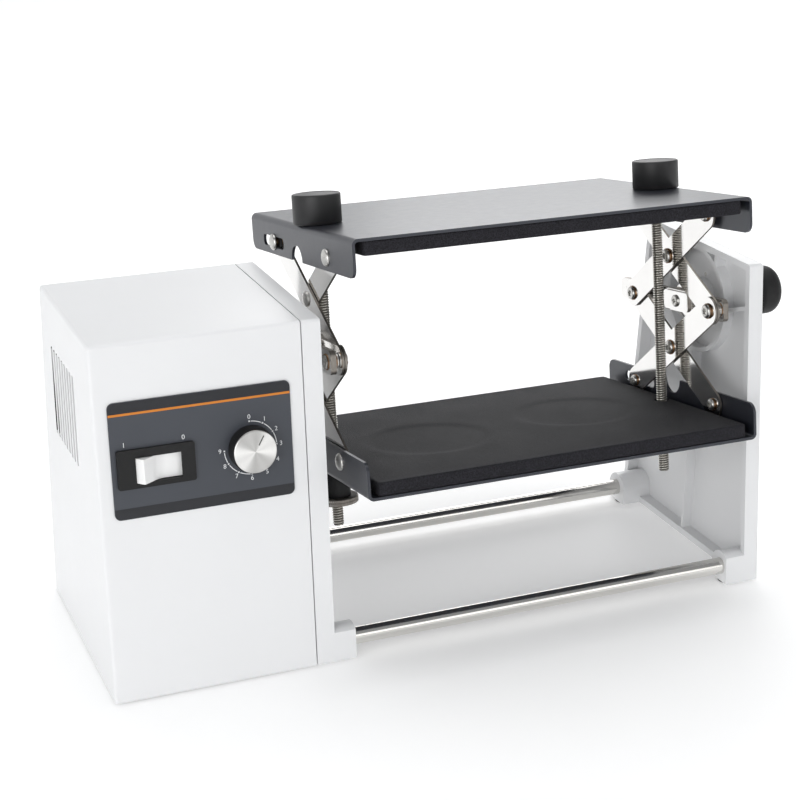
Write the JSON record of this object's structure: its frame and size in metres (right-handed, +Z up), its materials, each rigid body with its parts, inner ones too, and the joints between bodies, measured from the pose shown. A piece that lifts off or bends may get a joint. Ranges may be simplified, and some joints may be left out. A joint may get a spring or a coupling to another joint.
{
  "type": "overhead shaker",
  "caption": "Benchtop overhead shaker: a drive housing and an end frame turn a scissor-linked clamping carriage end over end, holding vessels between foam-lined trays.",
  "frame": {"origin": "on the table under the centre of the whole machine's box", "axes": "+X from the drive housing to the end frame along the turning axis, +Y to the back, +Z up"},
  "size_m": [0.5354, 0.232, 0.2971],
  "materials": {
    "white_paint": "satin sprayed paint",
    "tray_paint": "dark grey powder coat",
    "foam": "fine closed-cell foam",
    "stainless": "polished stainless sheet",
    "zinc_screw": "zinc-plated",
    "bar_steel": "turned stainless",
    "black_plastic": "fine matt texture",
    "panel_film": "satin printed film",
    "rocker_plastic": "smooth",
    "dial_metal": "turned face",
    "aluminium": "machined",
    "board_green": "solder mask",
    "foot_rubber": "matt",
    "belt_rubber": "matt",
    "bearing_steel": "ground"
  },
  "bodies": {
    "base": {"housing_shell": "white_paint", "base_plate": "bar_steel", "housing_screws": "zinc_screw", "end_plate": "white_paint", "end_frame": "white_paint", "tie_bars": "bar_steel", "tie_bar_screws": "zinc_screw", "foot_pads": "foot_rubber", "control_panel": "panel_film", "switch_body": "black_plastic", "potentiometer": "aluminium", "circuit_board": "board_green", "board_standoffs": "zinc_screw", "board_parts": "black_plastic", "power_inlet": "black_plastic", "drive_bracket": "aluminium", "drive_screws": "zinc_screw", "gearbox": "aluminium", "motor_can": "bar_steel", "drive_belt": "belt_rubber", "shaft_bearings": "bearing_steel", "pin_guide": "aluminium", "guide_screws": "zinc_screw", "pin_spring": "bar_steel"},
    "rocker": {"switch_rocker": "rocker_plastic"},
    "dial": {"speed_dial": "black_plastic", "speed_dial_cap": "dial_metal", "potentiometer_shaft": "aluminium"},
    "motor_output": {"motor_pulley": "aluminium", "motor_shaft": "bar_steel"},
    "carriage": {"drive_pulley": "aluminium", "drive_shaft": "bar_steel", "hub_bars": "stainless", "hub_clamp_plates": "stainless", "hub_screws": "zinc_screw", "hub_socket": "stainless", "front_pivot_pins": "zinc_screw"},
    "lock_pin": {"locking_pin": "bar_steel", "pull_knob": "black_plastic"},
    "upper_lift": {"upper_lift_arms": "stainless", "upper_centre_pins": "zinc_screw", "upper_slot_pins": "zinc_screw"},
    "upper_cross": {"upper_cross_arms": "stainless", "rear_pivot_pins": "zinc_screw"},
    "lower_lift": {"lower_lift_arms": "stainless", "lower_centre_pins": "zinc_screw", "lower_slot_pins": "zinc_screw"},
    "lower_cross": {"lower_cross_arms": "stainless"},
    "upper_clamp": {"upper_tray": "tray_paint", "upper_foam_pad": "foam", "upper_tray_bolts": "zinc_screw"},
    "lower_clamp": {"lower_tray": "tray_paint", "lower_foam_pad": "foam", "lower_tray_bolts": "zinc_screw", "rod_sleeves": "black_plastic", "threaded_discs": "stainless"},
    "left_knob": {"left_clamp_knob": "black_plastic", "left_threaded_rod": "bar_steel"},
    "right_knob": {"right_clamp_knob": "black_plastic", "right_threaded_rod": "bar_steel"}
  },
  "joints": [
    {"name": "carriage_spin", "type": "hinge", "parent": "base", "child": "carriage", "pos_m": [0.041, 0, 0.1916], "axis": [1, 0, 0], "continuous": true},
    {"name": "clamp_fold", "type": "hinge", "parent": "carriage", "child": "upper_lift", "pos_m": [0.041, -0.05359, 0.20021], "axis": [1, 0, 0], "range_deg": [-18, 4.5]},
    {"name": "upper_cross_fold", "type": "hinge", "parent": "upper_lift", "child": "upper_cross", "pos_m": [0.041, 0.00538, 0.22509], "axis": [1, 0, 0], "range_deg": [-9, 36]},
    {"name": "lower_lift_fold", "type": "hinge", "parent": "carriage", "child": "lower_lift", "pos_m": [0.041, -0.05359, 0.20021], "axis": [1, 0, 0], "range_deg": [-4.5, 18]},
    {"name": "lower_cross_fold", "type": "hinge", "parent": "lower_lift", "child": "lower_cross", "pos_m": [0.041, -0.00538, 0.15812], "axis": [1, 0, 0], "range_deg": [-36, 9]},
    {"name": "upper_tray_level", "type": "hinge", "parent": "upper_cross", "child": "upper_clamp", "pos_m": [0.041, -0.04283, 0.26718], "axis": [1, 0, 0], "range_deg": [-18, 4.5]},
    {"name": "lower_tray_level", "type": "hinge", "parent": "lower_cross", "child": "lower_clamp", "pos_m": [0.041, -0.06435, 0.13324], "axis": [1, 0, 0], "range_deg": [-4.5, 18]},
    {"name": "left_knob_turn", "type": "hinge", "parent": "upper_clamp", "child": "left_knob", "pos_m": [-0.0885, 0.01492, 0.28444], "axis": [0, 0.1587, 0.9873], "continuous": true},
    {"name": "right_knob_turn", "type": "hinge", "parent": "upper_clamp", "child": "right_knob", "pos_m": [0.1705, 0.01492, 0.28444], "axis": [0, 0.1587, 0.9873], "continuous": true},
    {"name": "speed_dial_turn", "type": "hinge", "parent": "base", "child": "dial", "pos_m": [-0.16855, -0.07738, 0.15866], "axis": [0, 0.9961, -0.0886], "range_deg": [-30, 240]},
    {"name": "switch_tilt", "type": "hinge", "parent": "base", "child": "rocker", "pos_m": [-0.22905, -0.07402, 0.15475], "axis": [0, -0.0886, -0.9961], "range_deg": [0, 36]},
    {"name": "lock_pin_pull", "type": "slide", "parent": "base", "child": "lock_pin", "axis": [1, 0, 0], "range_m": [0, 0.012], "stiffness_N_per_m": 800, "springref_m": -0.006, "deforming": ["pin_spring"]},
    {"name": "motor_turn", "type": "hinge", "parent": "base", "child": "motor_output", "pos_m": [-0.15175, 0, 0.0966], "axis": [1, 0, 0], "continuous": true}
  ],
  "couplings": [
    {"joint": "upper_cross_fold", "follows": "clamp_fold", "ratio": -2},
    {"joint": "lower_lift_fold", "follows": "clamp_fold", "ratio": -1},
    {"joint": "lower_cross_fold", "follows": "clamp_fold", "ratio": 2},
    {"joint": "upper_tray_level", "follows": "clamp_fold", "ratio": 1},
    {"joint": "lower_tray_level", "follows": "clamp_fold", "ratio": -1},
    {"joint": "motor_turn", "follows": "carriage_spin", "ratio": 3}
  ]
}
